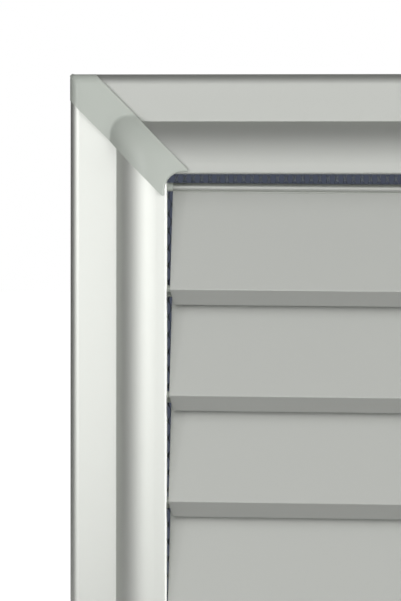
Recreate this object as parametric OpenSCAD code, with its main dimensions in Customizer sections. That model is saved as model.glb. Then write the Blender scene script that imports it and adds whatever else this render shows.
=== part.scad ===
// Wall ventilation grille: an extruded aluminium frame with a raised bead and moulded
// corner pieces, fixed blades with a drip lip, and an expanded metal guard behind them.
// The origin is the middle of the plane that lies on the wall. Front is -Y, up is +Z.
// A frame outline is drawn with u, the distance in from the outer edge, and v, the
// height in front of the wall.

/* [Frame] */
// Overall width of the grille
grille_w = 400; // [320:1:560]
// Face width of each frame member
member_w = 47.2; // [47:0.1:50]
// Width of the flat flange, from the outer edge to the bead
flange_w = 22.3; // [21.5:0.1:23]
// Height of the flat flange in front of the wall
flange_h = 12; // [12:0.1:14]
// Height of the bead above the flange
bead_h = 10.5; // [10:0.1:12]
// Width of the flat crest of the bead
crest_w = 4.7; // [4:0.1:5.5]
// Radius of the rounded outer edge
edge_r = 4.7; // [4:0.1:5]
// Wall thickness of the frame section
skin_t = 1.6; // [1.4:0.1:1.8]

/* [Corner pieces] */
// Width of the cap band across the mitre
cap_w = 17.4; // [14:0.2:20]
// Thickness of the cap on the flat flange
cap_t = 2; // [1.6:0.1:2.4]
// How far the bulge of the cap starts before the bead
foot_lead = 2.8; // [2:0.1:3.5]
// Radius of the bulge's foot, seen from the front
foot_r = 9; // [6:0.5:11]
// Thickness of the web between the mitred ends
web_t = 1.6; // [1.2:0.1:2]

/* [Blades] */
// Distance from one blade to the next
blade_pitch = 50; // [50:0.1:52]
// Height of a blade's face, from the round bar on top to the nose
face_h = 46.2; // [45.6:0.1:46.6]
// How far the nose stands in front of the top of the face
face_lean = 10.6; // [10.4:0.1:10.8]
// Drop of the drip lip below the nose
lip_drop = 7.2; // [6.6:0.1:7.6]
// How far the drip lip runs back under the nose
lip_back = 4; // [3.6:0.1:4.2]
// Sheet thickness of a blade
blade_t = 1; // [0.9:0.05:1.1]
// Diameter of the round bar along a blade's top
bar_d = 4.1; // [4:0.05:4.3]
// Distance of the noses behind the crest of the bead
nose_recess = 4; // [3.6:0.1:4.4]
// Gap above the first blade and below the last one, at mid width
end_gap = 5; // [4.5:0.1:8]
// Gap between a blade's end and the inner edge of the frame, at mid height
side_gap = 0.6; // [0.5:0.05:1]
// Turn of the whole blade pack in the frame, in degrees
blade_turn = 0.37; // [0:0.01:0.4]

/* [Guard] */
// Thickness of the expanded metal guard
guard_t = 1; // [0.8:0.1:1.2]
// Width of a strand between two openings of the guard
strand_w = 3; // [2:0.5:5]

/* [Hidden] */
$fn = 48;

// Colours, as the photograph shows them
aluminium = "#c9cdc9";
cap_plastic = "#b3b9b2";
steel = "#8d9192";
dark_steel = "#6c7074";

// General
eps = 0.5;               // how far a cutting solid runs past a face
fit = 0.1;               // clearance of a piece in its seat

// Frame section
crest_u = member_w - crest_w;
crest_v = flange_h + bead_h;
bead_run = crest_u - flange_w;
bead_r = (bead_run * bead_run + bead_h * bead_h) / (2 * bead_h);
inner_edge_r = 1;        // rounding of the bead's inner edge
return_h = 3.2;          // depth of the bead's return at the opening
leg_u = flange_w + 0.8;  // near side of the leg under the crease
leg_end = leg_u + skin_t;

// Corner key and its seat under the flange
key_t = 2.2;
key_v = flange_h - skin_t - fit - key_t;
hook_t = 1.2;
hook_u = 3.5;
hook_foot = 3.6;
key_u = hook_u + hook_t + fit;
key_end = leg_u - 0.3;
key_arm = 62;
key_hole_d = 5;

// Layers behind the blades, counted forward from the wall
screw_head_v = 0.2;
screw_head_t = 1.4;
retainer_v = screw_head_v + screw_head_t;
retainer_t = 1.4;
guard_v = retainer_v + retainer_t;
rail_v = guard_v + guard_t;
rail_t = 1.6;
channel_v = rail_v + rail_t;

// Screw channel along the back of each frame member
channel_u = member_w - 11.2;
channel_slot = 2.6;
channel_wall = 1.2;

// Carrier rails: the web that holds the blades lies behind the bead
rail_face_u = member_w - 2.2;
rail_web_t = 1.6;
rail_edge_u = channel_u - 5.7;

// Blades
blade_count = 6;
bar_r = bar_d / 2;
face_step = 0.6;         // front of the face, ahead of the bar's middle
nose_v = crest_v - nose_recess;
bar_v = nose_v - face_lean - face_step;
lip_trim = 1.7;          // how much the lip's ends are cut back at the bottom
ledge_r = 0.45;          // fine ridge under the bar
port_r = 1.7;            // screw port behind the nose
port_seat = 0.3;         // how deep the port is rooted in the sheet
core_r = 1.2;            // bore of both screw ports
pack_h = bar_d + face_h + lip_drop + (blade_count - 1) * blade_pitch;
opening_w = grille_w - 2 * member_w;
opening_h = pack_h + 2 * end_gap;
grille_h = opening_h + 2 * member_w;
blade_len = opening_w - 2 * side_gap;
first_bar_z = opening_h / 2 - end_gap - bar_r;
function bar_z(i) = first_bar_z - (i - 1) * blade_pitch;

// Blade outline: p runs forward from the bar's middle and q runs up
face_top = [face_step, -bar_r];
nose = [face_step + face_lean, -bar_r - face_h];
lip_foot = nose + [-lip_back, -lip_drop];
function unit(a) = a / norm(a);
function back_normal(a) = [a.y, -a.x];
face_normal = back_normal(unit(nose - face_top));
lip_normal = back_normal(unit(lip_foot - nose));
corner_step = (face_normal + lip_normal) / (1 + face_normal * lip_normal);
bend = nose + blade_t * corner_step;
port = nose + (blade_t + port_r - port_seat) * corner_step;

// Screws and sleeves at the blade ends
blade_screw_r = core_r - 0.05;
blade_screw_reach = 12;
blade_head_r = 2.5;
blade_head_t = 1.8;
rail_hole_r = 1.5;
sleeve_bore_r = 1.35;
sleeve_fit = 0.05;
fix_points = [[0, 0, bar_r], [port.x, port.y, port_r]];

// Retainer screws
retainer_screw_r = channel_slot / 2 - 0.05;
retainer_screw_tip_v = 13;
retainer_hole_r = 1.6;
screw_head_r = 2.8;
screw_rows = [-1, 0, 1];
screw_spread = 0.36;     // of the opening's size, from one screw to the next

// Guard
guard_u = rail_edge_u + 0.5;
guard_columns = 10;
guard_rows = 11;
guard_rim = 4;

// Cap
cap_top_v = flange_h + cap_t;
foot_u = flange_w - foot_lead;
cap_crest_v = crest_v + cap_t;
cap_run = crest_u - foot_u;
cap_rise = cap_crest_v - cap_top_v;
cap_bead_r = (cap_run * cap_run + cap_rise * cap_rise) / (2 * cap_rise);
cap_end_u = member_w - 0.5;
cap_edge_step = 0.7;     // the band's long edges are stepped down by this much
cap_corner_r = 1.6;      // outer corner, seen from the front
cap_end_r = 1.2;
cap_skirt_v = flange_h + cap_t - edge_r;
gusset = 2.7;            // small triangle that closes the opening's corner
gusset_v = crest_v - 7;
gusset_end_v = crest_v - 1.4;
reach = 75;              // size of the block that a corner piece is cut from
above_v = cap_crest_v + 8;   // a height that lies above everything, for cutting solids

// Block whose top left corner is rounded
module rounded_block(x1, x2, y1, y2, r) {
    translate([x1 + r, y2 - r]) circle(r = r);
    translate([x1 + r, y1]) square([x2 - x1 - r, y2 - y1]);
    translate([x1, y1]) square([x2 - x1, y2 - y1 - r]);
}

// Area under a bead: an arc that rises to the crest, then a flat crest up to u_end
module under_bead(radius, crest, u_start, u_end, end_r, bottom) {
    intersection() {
        translate([crest_u, crest - radius]) circle(r = radius, $fn = 180);
        translate([u_start, bottom]) square([crest_u - u_start, crest - bottom]);
    }
    translate([crest_u, bottom]) square([u_end - crest_u, crest - end_r - bottom]);
    translate([crest_u - eps, crest - 2 * end_r]) square([u_end - end_r - crest_u + eps, 2 * end_r]);
    if (end_r > 0) translate([u_end - end_r, crest - end_r]) circle(r = end_r);
}

// Outer contour of a frame member, solid down to the wall
module frame_fill() {
    rounded_block(0, flange_w + skin_t, 0, flange_h, edge_r);
    under_bead(bead_r, crest_v, flange_w, member_w, inner_edge_r, 0);
}

// Hollows of the frame section, open to the wall
module frame_hollow() {
    rounded_block(skin_t, leg_u, -eps, flange_h - skin_t, edge_r - skin_t);
    under_bead(bead_r - skin_t, crest_v - skin_t, leg_end, member_w - skin_t, 0.2, -eps);
    translate([crest_u, -eps]) square([crest_w + eps, crest_v - return_h + eps]);
}

// Hooks that hold the corner key against the flange
module key_hooks() {
    hook_v = key_v - fit - hook_t;
    translate([hook_u, hook_v]) square([hook_foot, hook_t]);
    translate([hook_u, hook_v]) square([hook_t, flange_h - skin_t - hook_v]);
    translate([leg_u - hook_foot, hook_v]) square([hook_foot + skin_t / 2, hook_t]);
}

// Two walls that take the retainer screws between them
module screw_channel() {
    for (side = [-1, 1])
        translate([channel_u + side * (channel_slot + channel_wall) / 2 - channel_wall / 2, channel_v])
            square([channel_wall, crest_v]);
}

module frame_section() {
    difference() {
        frame_fill();
        frame_hollow();
    }
    intersection() {
        union() {
            key_hooks();
            screw_channel();
        }
        frame_fill();
    }
}

// Places a piece drawn with its outer edge on the X axis, hanging down, on one side
module on_side(turn, out) {
    rotate([0, turn, 0]) translate([0, 0, out]) children();
}

// Runs an outline of u and v along X
module run_along_x(length) {
    rotate([180, 90, 0]) linear_extrude(length, center = true, convexity = 8) children();
}

module frame_member(turn, out, half_len) {
    cut = half_len - (web_t / 2 + 0.05) * sqrt(2);
    color(aluminium) on_side(turn, out) intersection() {
        run_along_x(2 * half_len) frame_section();
        rotate([90, 0, 0]) linear_extrude(3 * crest_v, center = true)
            polygon([[-cut, 0], [cut, 0], [cut - member_w, -member_w], [member_w - cut, -member_w]]);
    }
}

module frame_top() { frame_member(0, grille_h / 2, grille_w / 2); }
module frame_bottom() { frame_member(180, grille_h / 2, grille_w / 2); }
module frame_left() { frame_member(-90, grille_w / 2, grille_h / 2); }
module frame_right() { frame_member(90, grille_w / 2, grille_h / 2); }

// Places a piece drawn for the top left corner, with that corner at the origin
module on_corner(right, down) {
    translate([(right - 0.5) * grille_w, 0, (0.5 - down) * grille_h])
        rotate([0, 90 * (right + 3 * down - 2 * right * down), 0]) children();
}

// One half of a mitred corner: the outline runs down from the corner's mitre plane
module half_corner() {
    intersection() {
        rotate([180, 0, 0]) linear_extrude(reach, convexity = 8) children();
        rotate([90, 0, 0]) linear_extrude(3 * crest_v, center = true)
            polygon([[0, 0], [reach, -reach], [0, -reach]]);
    }
}

module both_halves() {
    half_corner() children();
    mirror([1, 0, 1]) half_corner() children();
}

// Band along the mitre, of a given width, between two heights
module mitre_band(width, low, high) {
    rotate([0, 45, 0]) translate([-1, -high, -width / 2]) cube([2 * reach, high - low, width]);
}

// Solid seen as an outline from the front, between two heights
module front_prism(low, high) {
    translate([0, -low, 0]) rotate([90, 0, 0]) linear_extrude(high - low) children();
}

// Cap layer: the flat part with the rounded outer edge, and the bulge over the bead
module cap_layer(width, drop) {
    intersection() {
        mitre_band(width, 0, above_v);
        union() {
            both_halves() rounded_block(0, crest_u, 0, cap_top_v - drop, edge_r);
            intersection() {
                both_halves() under_bead(cap_bead_r - drop, cap_crest_v - drop, foot_u - 1,
                    cap_end_u, cap_end_r, 0);
                front_prism(0, above_v) rounded_block(foot_u, reach, -reach, -foot_u, foot_r);
            }
        }
    }
}

module corner_cap() {
    difference() {
        union() {
            cap_layer(cap_w, cap_edge_step);
            cap_layer(cap_w - 2 * cap_edge_step, 0);
        }
        both_halves() frame_fill();
        front_prism(-eps, cap_skirt_v) translate([-eps, -2 * reach]) square(2 * reach + eps);
    }
}

// Web between the mitred ends, open where the key and the carrier rails pass
module corner_web() {
    difference() {
        intersection() {
            mitre_band(web_t, 0, above_v);
            both_halves() frame_fill();
        }
        front_prism(-eps, gusset_v + 1) translate([rail_edge_u - 1, -reach - rail_edge_u + 1]) square(reach);
        front_prism(key_v - fit, key_v + key_t + fit) translate([key_u - fit, -key_end - fit])
            square(key_end - key_u + 2 * fit);
    }
}

module corner_gusset() {
    front_prism(gusset_v, gusset_end_v) polygon([
        [member_w, -member_w], [member_w + gusset, -member_w], [member_w, -member_w - gusset]]);
    intersection() {
        mitre_band(web_t, gusset_v, gusset_end_v);
        front_prism(gusset_v, gusset_end_v) translate([crest_u, -member_w - gusset / 3])
            square(crest_w + gusset / 3);
    }
}

module corner_piece(right, down) {
    color(cap_plastic) on_corner(right, down) intersection() {
        union() {
            corner_cap();
            corner_web();
            corner_gusset();
        }
        front_prism(-eps, above_v) rounded_block(0, reach, -reach, 0, cap_corner_r);
    }
}

module corner_top_left() { corner_piece(0, 0); }
module corner_top_right() { corner_piece(1, 0); }
module corner_bottom_left() { corner_piece(0, 1); }
module corner_bottom_right() { corner_piece(1, 1); }

// Pressed steel angle that slides into the hooks of two members
module corner_key(right, down) {
    color(steel) on_corner(right, down) front_prism(key_v, key_v + key_t) difference() {
        union() {
            translate([key_u, -key_arm]) square([key_end - key_u, key_arm - key_u]);
            translate([key_u, -key_end]) square([key_arm - key_u, key_end - key_u]);
        }
        for (along = [0.6, 0.85]) {
            translate([(key_u + key_end) / 2, -along * key_arm]) circle(d = key_hole_d);
            translate([along * key_arm, -(key_u + key_end) / 2]) circle(d = key_hole_d);
        }
    }
}

module key_top_left() { corner_key(0, 0); }
module key_top_right() { corner_key(1, 0); }
module key_bottom_left() { corner_key(0, 1); }
module key_bottom_right() { corner_key(1, 1); }

// Strip of sheet whose front lies on the line from a to b
module sheet(a, b) {
    translate(a) rotate(atan2(b.y - a.y, b.x - a.x)) translate([0, -blade_t])
        square([norm(b - a), blade_t]);
}

// Blade outline: bar, leaning face, bent nose, drip lip and the port behind the nose
module blade_section() {
    difference() {
        union() {
            circle(r = bar_r);
            sheet(face_top + [0, bar_r / 2], face_top + [0, -blade_t]);
            sheet(face_top, bend - blade_t * face_normal);
            sheet(bend - blade_t * lip_normal, lip_foot);
            translate(bend) circle(r = blade_t);
            translate(port) circle(r = port_r);
            translate(face_top + [-0.1, -ledge_r / 2]) circle(r = ledge_r);
        }
        circle(r = core_r);
        translate(port) circle(r = core_r);
    }
}

// Turns the blade pack about the middle of the opening
module turned() {
    rotate([0, blade_turn, 0]) children();
}

// Wedge that trims one end of the drip lip
module lip_cut() {
    rotate([90, 0, 0]) linear_extrude(3 * crest_v, center = true) polygon([
        [blade_len / 2, nose.y - 0.3], [blade_len / 2 + 1, nose.y - 0.3],
        [blade_len / 2 + 1, lip_foot.y - 1], [blade_len / 2 - lip_trim, lip_foot.y - 1],
        [blade_len / 2 - lip_trim, lip_foot.y]]);
}

module blade(i) {
    color(aluminium) turned() translate([0, 0, bar_z(i)]) difference() {
        translate([0, -bar_v, 0]) rotate([90, 0, -90]) linear_extrude(blade_len, center = true, convexity = 8)
            blade_section();
        lip_cut();
        mirror([1, 0, 0]) lip_cut();
    }
}

// Carries children to every screw point of the blade ends; X then runs outward
module at_blade_ends(side) {
    for (i = [1 : blade_count], point = fix_points)
        turned() translate([0, -bar_v - point[0], bar_z(i) + point[1]])
            mirror([side < 0 ? 1 : 0, 0, 0]) children();
}

// Angle section rail: base on the screw channel, web behind the bead's inner edge
module rail_section(web_v) {
    translate([rail_edge_u, rail_v]) square([rail_face_u - rail_edge_u, rail_t]);
    translate([rail_face_u - rail_web_t, rail_v]) square([rail_web_t, web_v - rail_v]);
}

// Screw places along one side, from its middle
function screw_at(size) = [for (row = screw_rows) row * screw_spread * size];

module retainer_holes(size) {
    for (x = screw_at(size)) translate([x, 0, -channel_u]) rotate([90, 0, 0])
        cylinder(r = retainer_hole_r, h = 2 * crest_v, center = true);
}

module side_rail(side) {
    web_v = bar_v + port.x + 2.9;
    color(aluminium) difference() {
        on_side(90 * side, grille_w / 2) difference() {
            run_along_x(grille_h - 2 * rail_edge_u) rail_section(web_v);
            retainer_holes(opening_h);
        }
        at_blade_ends(side) translate([blade_len / 2, 0, 0]) rotate([0, 90, 0])
            cylinder(r = rail_hole_r, h = 8);
    }
}

module end_rail(turn) {
    color(aluminium) on_side(turn, grille_h / 2) difference() {
        run_along_x(2 * (grille_w / 2 - rail_face_u - fit)) rail_section(flange_h);
        retainer_holes(opening_w);
    }
}

module rail_left() { side_rail(-1); }
module rail_right() { side_rail(1); }
module rail_top() { end_rail(0); }
module rail_bottom() { end_rail(180); }

// Distance from a blade's end to the rail, measured along the turned blade
function sleeve_len(i, side, point) =
    (grille_w / 2 - rail_face_u - side * (bar_z(i) + point[1]) * sin(blade_turn)) / cos(blade_turn)
    - blade_len / 2;

module blade_sleeves() {
    color(cap_plastic) for (side = [-1, 1], i = [1 : blade_count], point = fix_points)
        turned() translate([side * (blade_len / 2 + sleeve_fit), -bar_v - point[0], bar_z(i) + point[1]])
            rotate([0, 90 * side, 0]) difference() {
                cylinder(r = point[2], h = sleeve_len(i, side, point) - 2 * sleeve_fit);
                translate([0, 0, -eps]) cylinder(r = sleeve_bore_r, h = sleeve_len(i, side, point) + 2 * eps);
            }
}

module blade_screws() {
    color(steel) for (side = [-1, 1], i = [1 : blade_count], point = fix_points) {
        head_x = blade_len / 2 + sleeve_len(i, side, point) + rail_web_t + sleeve_fit;
        turned() translate([side * head_x, -bar_v - point[0], bar_z(i) + point[1]])
            rotate([0, 90 * side, 0]) {
                cylinder(r = blade_head_r, h = blade_head_t);
                translate([0, 0, blade_len / 2 - blade_screw_reach - head_x])
                    cylinder(r = blade_screw_r, h = head_x - blade_len / 2 + blade_screw_reach);
            }
    }
}

// One opening of the guard, a diamond with blunt ends
module guard_opening(w, h) {
    blunt = 0.18;
    polygon([[-w / 2, -blunt * h / 2], [0, -h / 2], [w / 2, -blunt * h / 2],
        [w / 2, blunt * h / 2], [0, h / 2], [-w / 2, blunt * h / 2]]);
}

// Guard sheet with staggered openings and a plain rim under the retainers
module guard_mesh() {
    field_w = grille_w - 2 * rail_face_u - 2 * guard_rim;
    field_h = grille_h - 2 * rail_face_u - 2 * guard_rim;
    step_x = field_w / guard_columns;
    step_z = field_h / guard_rows;
    color(dark_steel) difference() {
        front_prism(guard_v, guard_v + guard_t) difference() {
            square([grille_w - 2 * guard_u, grille_h - 2 * guard_u], center = true);
            for (column = [0 : guard_columns - 1], row = [0 : guard_rows - 1 - column % 2])
                translate([(column + 0.5) * step_x - field_w / 2,
                    (row + 0.5 + (column % 2) / 2) * step_z - field_h / 2])
                    guard_opening(step_x - strand_w, step_z - strand_w);
        }
        on_side(0, grille_h / 2) retainer_holes(opening_w);
        on_side(180, grille_h / 2) retainer_holes(opening_w);
        on_side(90, grille_w / 2) retainer_holes(opening_h);
        on_side(-90, grille_w / 2) retainer_holes(opening_h);
    }
}

module retainer(turn, out, length, size) {
    color(steel) on_side(turn, out) difference() {
        run_along_x(length) translate([rail_edge_u, retainer_v])
            square([rail_face_u - rail_edge_u, retainer_t]);
        retainer_holes(size);
    }
}

module retainer_left() { retainer(-90, grille_w / 2, grille_h - 2 * rail_edge_u, opening_h); }
module retainer_right() { retainer(90, grille_w / 2, grille_h - 2 * rail_edge_u, opening_h); }
module retainer_top() {
    retainer(0, grille_h / 2, 2 * (grille_w / 2 - rail_face_u - fit), opening_w);
}
module retainer_bottom() {
    retainer(180, grille_h / 2, 2 * (grille_w / 2 - rail_face_u - fit), opening_w);
}

module retainer_screw_row(size) {
    for (x = screw_at(size)) translate([x, 0, -channel_u]) rotate([90, 0, 0]) {
        translate([0, 0, screw_head_v]) cylinder(r = screw_head_r, h = screw_head_t);
        translate([0, 0, screw_head_v]) cylinder(r = retainer_screw_r, h = retainer_screw_tip_v - screw_head_v);
    }
}

module retainer_screws() {
    color(steel) {
        on_side(0, grille_h / 2) retainer_screw_row(opening_w);
        on_side(180, grille_h / 2) retainer_screw_row(opening_w);
        on_side(90, grille_w / 2) retainer_screw_row(opening_h);
        on_side(-90, grille_w / 2) retainer_screw_row(opening_h);
    }
}

frame_top();
frame_bottom();
frame_left();
frame_right();
corner_top_left();
corner_top_right();
corner_bottom_left();
corner_bottom_right();
key_top_left();
key_top_right();
key_bottom_left();
key_bottom_right();
for (i = [1 : blade_count]) blade(i);
rail_left();
rail_right();
rail_top();
rail_bottom();
blade_screws();
blade_sleeves();
guard_mesh();
retainer_left();
retainer_right();
retainer_top();
retainer_bottom();
retainer_screws();
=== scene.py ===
# %% [markdown]
# # A wall ventilation grille
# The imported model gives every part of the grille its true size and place. This lesson
# dresses it: a camera where the photographer stood, a small studio, one finish for each
# real material, and three kinds of piece that need finer work than the solids have.

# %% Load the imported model
import math
import bmesh
import bpy
from mathutils import Matrix, Quaternion, Vector


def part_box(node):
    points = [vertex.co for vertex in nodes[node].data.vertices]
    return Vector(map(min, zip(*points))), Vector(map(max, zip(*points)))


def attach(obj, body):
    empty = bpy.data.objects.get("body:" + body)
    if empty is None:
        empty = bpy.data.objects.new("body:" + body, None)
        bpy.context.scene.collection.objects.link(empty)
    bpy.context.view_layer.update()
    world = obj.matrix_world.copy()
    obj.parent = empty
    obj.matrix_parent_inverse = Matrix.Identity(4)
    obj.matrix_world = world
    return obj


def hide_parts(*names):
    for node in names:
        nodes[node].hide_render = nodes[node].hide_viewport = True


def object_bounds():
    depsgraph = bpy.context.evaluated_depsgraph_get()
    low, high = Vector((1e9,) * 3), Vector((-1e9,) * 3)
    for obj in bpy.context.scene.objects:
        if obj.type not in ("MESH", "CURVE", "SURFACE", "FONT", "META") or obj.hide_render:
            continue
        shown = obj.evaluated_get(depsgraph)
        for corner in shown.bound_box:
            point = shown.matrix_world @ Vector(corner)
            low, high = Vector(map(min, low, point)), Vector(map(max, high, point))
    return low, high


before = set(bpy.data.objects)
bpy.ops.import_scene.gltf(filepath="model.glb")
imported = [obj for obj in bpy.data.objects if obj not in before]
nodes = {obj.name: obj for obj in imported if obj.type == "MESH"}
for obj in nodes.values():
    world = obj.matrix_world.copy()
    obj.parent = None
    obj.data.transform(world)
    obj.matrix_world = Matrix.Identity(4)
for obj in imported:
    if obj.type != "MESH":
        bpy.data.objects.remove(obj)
cad_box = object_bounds()
MM = 0.001
print("nodes:", len(nodes), "box:", [round(v, 4) for v in cad_box[1] - cad_box[0]])

# %% [markdown]
# The camera stands a little to the right of the grille's upper left corner and almost
# level with it. A long lens from two metres keeps the frame's lines nearly parallel.

# %% Camera
CORNER = Vector((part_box("corner_top_left")[0].x, 0.0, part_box("corner_top_left")[1].z))
AIM = CORNER + Vector((61.2, 0.0, -107.1)) * MM
AZIMUTH, ELEVATION, ROLL = math.radians(5.17), math.radians(1.36), math.radians(0.06)
DISTANCE = 2200 * MM
PIXELS_PER_METRE = 2107.1
back = Vector((math.sin(AZIMUTH) * math.cos(ELEVATION),
               -math.cos(AZIMUTH) * math.cos(ELEVATION), math.sin(ELEVATION)))
lens = bpy.data.cameras.new("camera")
lens.sensor_width = 36
lens.lens = PIXELS_PER_METRE * DISTANCE * lens.sensor_width / 601
lens.clip_start, lens.clip_end = 0.05, 100
camera = bpy.data.objects.new("camera", lens)
bpy.context.scene.collection.objects.link(camera)
camera.location = AIM + back * DISTANCE
camera.rotation_mode = "QUATERNION"
camera.rotation_quaternion = (-back).to_track_quat("-Z", "Y") @ Quaternion((0, 0, 1), ROLL)
bpy.context.scene.camera = camera
bpy.context.scene.view_settings.view_transform = "Standard"
print("lens:", round(lens.lens, 1), "mm")

# %% [markdown]
# Colours are written as the hex values a colour picker would show, and one function
# turns them into the linear numbers that the renderer works with. One small function
# adds a node, sets its values and links its inputs.

# %% Colour and node helpers
def colour(code):
    parts = [int(code[i:i + 2], 16) / 255 for i in (1, 3, 5)]
    return tuple(c / 12.92 if c <= 0.04045 else ((c + 0.055) / 1.055) ** 2.4 for c in parts) + (1.0,)


def node(tree, kind, inputs=None, **settings):
    made = tree.nodes.new(kind)
    for name, value in settings.items():
        setattr(made, name, value)
    for name, value in (inputs or {}).items():
        if isinstance(value, bpy.types.NodeSocket):
            tree.links.new(value, made.inputs[name])
        else:
            made.inputs[name].default_value = value
    return made


def new_material(name):
    material = bpy.data.materials.new(name)
    material.use_nodes = True
    tree = material.node_tree
    tree.nodes.clear()
    output = node(tree, "ShaderNodeOutputMaterial")
    return material, tree, output


# %% Floor
floor_z = cad_box[0].z
bpy.ops.mesh.primitive_circle_add(vertices=96, radius=14, fill_type="NGON", location=(0, 0, floor_z))
floor = bpy.context.object
floor.name = "floor"
paper, tree, output = new_material("white_paper")
light_path = node(tree, "ShaderNodeLightPath")
matt = node(tree, "ShaderNodeBsdfDiffuse", {"Color": colour("#e6e6e6")})
glow = node(tree, "ShaderNodeEmission", {"Color": colour("#ffffff"), "Strength": 0.8})
lifted = node(tree, "ShaderNodeAddShader", {0: matt.outputs[0], 1: glow.outputs[0]})
direct = node(tree, "ShaderNodeMath", {0: light_path.outputs["Is Camera Ray"], 1: light_path.outputs["Is Glossy Ray"]}, operation="MAXIMUM")
straight = node(tree, "ShaderNodeMath", {0: direct.outputs[0], 1: light_path.outputs["Is Transmission Ray"]}, operation="MAXIMUM")
seen = node(tree, "ShaderNodeMixShader", {0: straight.outputs[0], 1: matt.outputs[0], 2: lifted.outputs[0]})
tree.links.new(seen.outputs[0], output.inputs["Surface"])
floor.data.materials.append(paper)

# %% World
world = bpy.data.worlds.new("studio")
world.use_nodes = True
bpy.context.scene.world = world
tree = world.node_tree
tree.nodes.clear()
light_path = node(tree, "ShaderNodeLightPath")
direct = node(tree, "ShaderNodeMath", {0: light_path.outputs["Is Camera Ray"], 1: light_path.outputs["Is Glossy Ray"]}, operation="MAXIMUM")
straight = node(tree, "ShaderNodeMath", {0: direct.outputs[0], 1: light_path.outputs["Is Transmission Ray"]}, operation="MAXIMUM")
strength = node(tree, "ShaderNodeMath", {0: straight.outputs[0], 1: 0.7, 2: 0.3}, operation="MULTIPLY_ADD")
sky = node(tree, "ShaderNodeBackground", {"Color": colour("#ffffff"), "Strength": strength.outputs[0]})
tree.links.new(sky.outputs[0], node(tree, "ShaderNodeOutputWorld").inputs["Surface"])


# %% Lamps and cards
def facing(place, aim, front):
    return (Vector(aim) - Vector(place)).to_track_quat(front, "Y")


def softbox(name, place, aim, width, height, watts, mirrored=True):
    lamp = bpy.data.lights.new(name, "AREA")
    lamp.shape = "RECTANGLE"
    lamp.size, lamp.size_y, lamp.energy = width, height, watts
    holder = bpy.data.objects.new(name, lamp)
    bpy.context.scene.collection.objects.link(holder)
    holder.location = place
    holder.rotation_mode = "QUATERNION"
    holder.rotation_quaternion = facing(place, aim, "-Z")
    holder.visible_camera = False
    holder.visible_glossy = mirrored
    return holder


def card(name, corners, level):
    mesh = bpy.data.meshes.new(name)
    mesh.from_pydata(corners, [], [(0, 1, 2, 3)])
    made = bpy.data.objects.new(name, mesh)
    bpy.context.scene.collection.objects.link(made)
    made.visible_camera = False
    made.visible_shadow = False
    made.visible_diffuse = False
    cloth, tree, output = new_material(name + "_cloth")
    shade = node(tree, "ShaderNodeEmission", {"Color": colour("#ffffff"), "Strength": level})
    tree.links.new(shade.outputs[0], output.inputs["Surface"])
    mesh.materials.append(cloth)
    return made


softbox("right_softbox", (1.9, -1.5, 0.3), (0, 0, 0), 1.6, 1.6, 40)
softbox("front_softbox", (0.2, -2.6, 0.1), (0, 0, 0), 1.8, 1.8, 42, mirrored=False)
softbox("left_front_strip", (-1.3, -1.9, 0.35), (0, 0, 0.1), 0.12, 0.9, 6)
card("left_card", [(-1.15, -0.54, -0.2), (-1.15, 3.5, -0.2), (-1.15, 3.5, 1.4), (-1.15, -0.54, 1.4)], 0.06)
card("front_ceiling_card", [(-1.6, -2.0, 0.85), (1.6, -2.0, 0.85), (1.6, -0.7, 1.2), (-1.6, -0.7, 1.2)], 0.6)
card("ceiling_card", [(-1.6, -0.7, 1.2), (1.6, -0.7, 1.2), (1.6, 3.5, 1.2), (-1.6, 3.5, 1.2)], 0.2)
card("table_card", [(-1.15, -1.1, -0.2), (1.4, -1.1, -0.2), (1.4, -0.02, -0.2), (-1.15, -0.02, -0.2)], 0.4)
print("lamps ready")


# %% Materials
def metal(name, code, roughness, grain, anisotropic):
    material, tree, output = new_material(name)
    along = node(tree, "ShaderNodeCombineXYZ", {"X": float(grain == "x"), "Z": float(grain == "z")})
    shade = node(tree, "ShaderNodeBsdfPrincipled", {"Base Color": colour(code), "Metallic": 1.0,
        "Roughness": roughness, "Anisotropic": anisotropic, "Anisotropic Rotation": 0.25, "Tangent": along.outputs[0]})
    tree.links.new(shade.outputs[0], output.inputs["Surface"])
    return material


def plain(name, code, metallic, roughness):
    material, tree, output = new_material(name)
    shade = node(tree, "ShaderNodeBsdfPrincipled", {"Base Color": colour(code), "Metallic": metallic, "Roughness": roughness})
    tree.links.new(shade.outputs[0], output.inputs["Surface"])
    return material


anodised_x = metal("anodised_x", "#cdcfca", 0.42, "x", 0.6)
anodised_z = metal("anodised_z", "#cdcfca", 0.42, "z", 0.6)
moulded = plain("moulded_plastic", "#a8ada6", 0.0, 0.35)
zinc = plain("zinc_plated_steel", "#9a9ea0", 1.0, 0.35)
galvanised = plain("galvanised_steel", "#60656c", 1.0, 0.45)
for name, obj in nodes.items():
    kind = anodised_x
    if name in ("frame_left", "frame_right", "rail_left", "rail_right"):
        kind = anodised_z
    if name.startswith("corner") or name == "blade_sleeves":
        kind = moulded
    if name.startswith(("key", "retainer", "blade_screws")):
        kind = zinc
    if name == "guard_mesh":
        kind = galvanised
    obj.data.materials.clear()
    obj.data.materials.append(kind)

# %% Expanded metal guard
SHORT_WAY, LONG_WAY = 4.0, 8.2
SHEET = 0.6
PHASE_X, PHASE_Z = 0.0, 156.6
guard_low, guard_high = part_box("guard_mesh")
guard_mid_v = -(guard_low.y + guard_high.y) / 2 / MM


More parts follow.
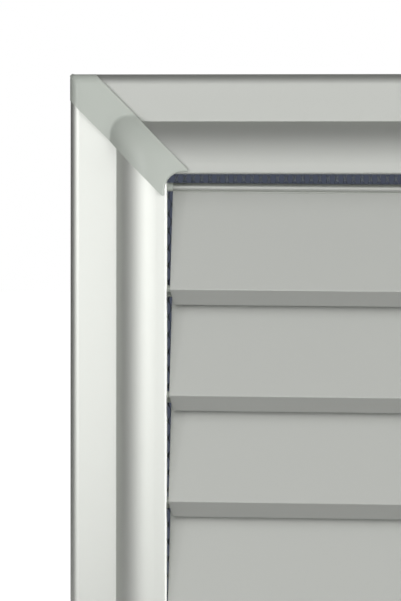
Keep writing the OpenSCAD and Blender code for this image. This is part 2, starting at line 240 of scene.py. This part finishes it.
def expanded_half(name, x_from, x_to):
    verts, faces = [], []
    ring = [(0.71, 0.0), (0.52, 0.43), (0.0, 0.8), (-0.52, 0.43), (-0.71, 0.0), (-0.52, -0.43), (0.0, -0.8), (0.52, -0.43)]
    edge = [(1, 0), (0.5, 0.5), (0, 1), (-0.5, 0.5), (-1, 0), (-0.5, -0.5), (0, -1), (0.5, -0.5)]
    half_x, half_z = SHORT_WAY / 2, LONG_WAY / 2
    z_low, z_high = guard_low.z / MM, guard_high.z / MM
    x_low, x_high = guard_low.x / MM, guard_high.x / MM
    columns = range(math.floor((x_from - PHASE_X) / half_x), math.ceil((x_to - PHASE_X) / half_x) + 1)
    rows = range(math.floor((z_low - PHASE_Z) / half_z), math.ceil((z_high - PHASE_Z) / half_z) + 1)
    for i in columns:
        cx = PHASE_X + i * half_x
        if not x_from <= cx < x_to:
            continue
        for j in rows:
            cz = PHASE_Z + j * half_z
            if (i + j) % 2 or cz - half_z < z_low or cz + half_z > z_high or cx - half_x < x_low or cx + half_x > x_high:
                continue
            border = min(cx - x_low, x_high - cx, cz - z_low, z_high - cz)
            lift = 0.42 * min(1.0, max(0.0, (border - 14.0) / 6.0)) + 0.02
            first = len(verts)
            for back in (0, 1):
                for shape, rise in ((edge, 0.0), (ring, 1.0)):
                    for px, pz in shape:
                        v = guard_mid_v + lift * rise * px / 0.71 + SHEET * (0.5 - back)
                        verts.append(((cx + px * half_x) * MM, -v * MM, (cz + pz * half_z) * MM))
            for k in range(8):
                n = (k + 1) % 8
                faces.append((first + k, first + n, first + 8 + n, first + 8 + k))
                faces.append((first + 16 + n, first + 16 + k, first + 24 + k, first + 24 + n))
                faces.append((first + 8 + k, first + 8 + n, first + 24 + n, first + 24 + k))
    mesh = bpy.data.meshes.new(name)
    mesh.from_pydata(verts, [], faces)
    built = bmesh.new()
    built.from_mesh(mesh)
    bmesh.ops.remove_doubles(built, verts=built.verts, dist=1e-6)
    bmesh.ops.recalc_face_normals(built, faces=built.faces)
    built.to_mesh(mesh)
    built.free()
    made = bpy.data.objects.new(name, mesh)
    bpy.context.scene.collection.objects.link(made)
    mesh.materials.append(galvanised)
    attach(made, "root")
    return made


left_half = expanded_half("expanded_metal_left", guard_low.x / MM, 0.0)
right_half = expanded_half("expanded_metal_right", 0.0, guard_high.x / MM)
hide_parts("guard_mesh")
print("expanded metal:", sum(len(h.data.polygons) for h in (left_half, right_half)) * 2, "triangles")

# %% Shade behind the guard
# Painted shade: a dark card that glows, 4 mm behind the wall plane, stands in for the unlit duct seen through the
# guard. It is one-sided and turns clear when seen from behind.
shade_mesh = bpy.data.meshes.new("duct_shade")
low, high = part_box("rail_left")[0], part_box("rail_right")[1]
shade_mesh.from_pydata([(low.x, 0.004, low.z), (high.x, 0.004, low.z), (high.x, 0.004, high.z), (low.x, 0.004, high.z)], [], [(0, 1, 2, 3)])
duct_shade = bpy.data.objects.new("duct_shade", shade_mesh)
bpy.context.scene.collection.objects.link(duct_shade)
duct_shade.visible_shadow = False
duct_shade.visible_diffuse = False
painted_shade_material, tree, output = new_material("painted_duct_shade_glow")
side = node(tree, "ShaderNodeNewGeometry")
dark = node(tree, "ShaderNodeEmission", {"Color": colour("#484d5a"), "Strength": 1.0})
clear = node(tree, "ShaderNodeBsdfTransparent")
one_sided = node(tree, "ShaderNodeMixShader", {0: side.outputs["Backfacing"], 1: dark.outputs[0], 2: clear.outputs[0]})
tree.links.new(one_sided.outputs[0], output.inputs["Surface"])
shade_mesh.materials.append(painted_shade_material)

# %% Corner caps
FLANGE_V, CREST_V, CREST_U, EDGE_R, FLANGE_U = 12.0, 22.5, 42.5, 4.7, 22.3
CAP_V, CAP_CREST_V, FOOT_U, CAP_END_U = 14.0, 24.5, 19.5, 46.2
BAND, BAND_EDGE_R, TIP_R = 17.4, 0.9, 1.4
cap_run, cap_rise = CREST_U - FOOT_U, CAP_CREST_V - CAP_V
CAP_R = (cap_run ** 2 + cap_rise ** 2) / (2 * cap_rise)
bead_run, bead_rise = CREST_U - FLANGE_U, CREST_V - FLANGE_V
BEAD_R = (bead_run ** 2 + bead_rise ** 2) / (2 * bead_rise)


def soft_min(a, b):
    mid = (a + b) / 2
    t = min(1.0, max(0.0, (mid - 6.0) / 11.0))
    k = 1.9 + 8.1 * t * t * (3 - 2 * t)
    h = max(k - abs(a - b), 0.0)
    return min(a, b) - h * h / (4 * k)


def along_for(level, across):
    low, high = abs(across), 200.0
    for _ in range(40):
        s = (low + high) / 2
        if soft_min((s + across) / math.sqrt(2), (s - across) / math.sqrt(2)) < level:
            low = s
        else:
            high = s
    return (low + high) / 2


def frame_height(u):
    if u < EDGE_R:
        return FLANGE_V - EDGE_R + math.sqrt(max(0.0, EDGE_R ** 2 - (EDGE_R - u) ** 2))
    if u < FLANGE_U:
        return FLANGE_V
    if u < CREST_U:
        return CREST_V - BEAD_R + math.sqrt(BEAD_R ** 2 - (CREST_U - u) ** 2)
    return CREST_V


def cap_profile():
    points = [(0.0, CAP_V - EDGE_R - 0.6)]
    for k in range(9):
        a = math.radians(180 - 90 * k / 8)
        points.append((EDGE_R + EDGE_R * math.cos(a), CAP_V - EDGE_R + EDGE_R * math.sin(a)))
    points += [(8.0, CAP_V), (12.0, CAP_V), (16.0, CAP_V), (FOOT_U - 0.6, CAP_V)]
    start = math.asin(cap_run / CAP_R)
    for k in range(25):
        a = start * (1 - k / 24)
        lift = 0.12 if k == 0 else 0.0
        points.append((CREST_U - CAP_R * math.sin(a), CAP_CREST_V - CAP_R + CAP_R * math.cos(a) + lift))
    points.append((CAP_END_U - 1.8, CAP_CREST_V))
    for k in range(7):
        a = math.radians(90 - 90 * k / 6)
        points.append((CAP_END_U - 0.9 + 0.9 * math.cos(a), CAP_CREST_V - 0.9 + 0.9 * math.sin(a)))
    points.append((CAP_END_U, CREST_V - 0.3))
    return points


def across_steps():
    half = BAND / 2
    steps = []
    for k in range(5):
        a = math.radians(90 * k / 4)
        steps.append((half - BAND_EDGE_R * (1 - math.sin(a)), BAND_EDGE_R * (1 - math.cos(math.pi / 2 - a))))
    inner = [(half - BAND_EDGE_R) * f for f in (0.85, 0.7, 0.55, 0.4, 0.25, 0.12, 0.0)]
    steps += [(t, 0.0) for t in inner]
    return [(-t, d) for t, d in steps] + [(t, d) for t, d in reversed(steps[:-1])]


def moulded_cap(name, node_name, right, down):
    profile = cap_profile()
    steps = across_steps()
    half = BAND / 2
    verts, faces = [], []

    def place(s, t, v):
        x, z = (s + t) / math.sqrt(2), (s - t) / math.sqrt(2)
        corner_x = cad_box[0].x / MM + x if not right else cad_box[1].x / MM - x
        corner_z = cad_box[1].z / MM - z if not down else cad_box[0].z / MM + z
        return (corner_x * MM, -v * MM, corner_z * MM)

    top, bottom = [], []
    for level, height in profile:
        left_over = CAP_END_U - level
        squeeze = 1.0
        if left_over < TIP_R:
            squeeze = 1 - (TIP_R - math.sqrt(max(0.0, TIP_R ** 2 - (TIP_R - left_over) ** 2))) / half
        row_top, row_bottom = [], []
        for t, drop in steps:
            across = t * squeeze
            s = along_for(level, across)
            x, z = (s + across) / math.sqrt(2), (s - across) / math.sqrt(2)
            under = frame_height(min(x, z)) - 0.15
            verts.append(place(s, across, max(height - drop, under + 0.02)))
            row_top.append(len(verts) - 1)
            verts.append(place(s, across, under if level > 0 else min(under, height)))
            row_bottom.append(len(verts) - 1)
        top.append(row_top)
        bottom.append(row_bottom)
    for k in range(len(profile) - 1):
        for n in range(len(steps) - 1):
            faces.append((top[k][n], top[k][n + 1], top[k + 1][n + 1], top[k + 1][n]))
            faces.append((bottom[k][n + 1], bottom[k][n], bottom[k + 1][n], bottom[k + 1][n + 1]))
        for n in (0, len(steps) - 1):
            faces.append((top[k][n], top[k + 1][n], bottom[k + 1][n], bottom[k][n]))
    for k in (0, len(profile) - 1):
        for n in range(len(steps) - 1):
            faces.append((top[k][n], top[k][n + 1], bottom[k][n + 1], bottom[k][n]))

    def prism(outline, low, high):
        start = len(verts)
        for v in (low, high):
            for s, t in outline:
                verts.append(place(s, t, v))
        count = len(outline)
        faces.append(tuple(range(start, start + count)))
        faces.append(tuple(range(start + 2 * count - 1, start + count - 1, -1)))
        for k in range(count):
            n = (k + 1) % count
            faces.append((start + k, start + count + k, start + count + n, start + n))

    def in_band(x, z):
        return ((x + z) / math.sqrt(2), (x - z) / math.sqrt(2))

    prism([in_band(47.0, 47.0), in_band(49.9, 47.0), in_band(47.0, 49.9)], CREST_V - 7, CREST_V - 1.4)
    start = len(verts)
    wall = [(0.1, 0.0)] + [(u, frame_height(u) - 0.05) for u in (0.3, 1, 2, 3, 4.7, 22.3, 25, 28, 32, 36, 40, 42.5, 46.4)]
    wall += [(46.4, 15.5), (29.3, 15.5), (29.3, 0.0)]
    for t in (-0.8, 0.8):
        for u, v in wall:
            verts.append(place(u * math.sqrt(2), t, v))
    count = len(wall)
    faces.append(tuple(range(start, start + count)))
    faces.append(tuple(range(start + 2 * count - 1, start + count - 1, -1)))
    for k in range(count):
        n = (k + 1) % count
        faces.append((start + k, start + count + k, start + count + n, start + n))
    mesh = bpy.data.meshes.new(name)
    mesh.from_pydata(verts, [], faces)
    built = bmesh.new()
    built.from_mesh(mesh)
    bmesh.ops.remove_doubles(built, verts=built.verts, dist=1e-7)
    bmesh.ops.recalc_face_normals(built, faces=built.faces)
    for face in built.faces:
        face.smooth = True
    built.to_mesh(mesh)
    built.free()
    mesh.set_sharp_from_angle(angle=math.radians(35))
    made = bpy.data.objects.new(name, mesh)
    bpy.context.scene.collection.objects.link(made)
    mesh.materials.append(moulded)
    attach(made, "root")
    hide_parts(node_name)
    return made


caps = [moulded_cap("moulded_" + name, name, right, down) for name, right, down in (
    ("corner_top_left", False, False), ("corner_top_right", True, False),
    ("corner_bottom_left", False, True), ("corner_bottom_right", True, True))]
print("caps:", [len(c.data.polygons) for c in caps])
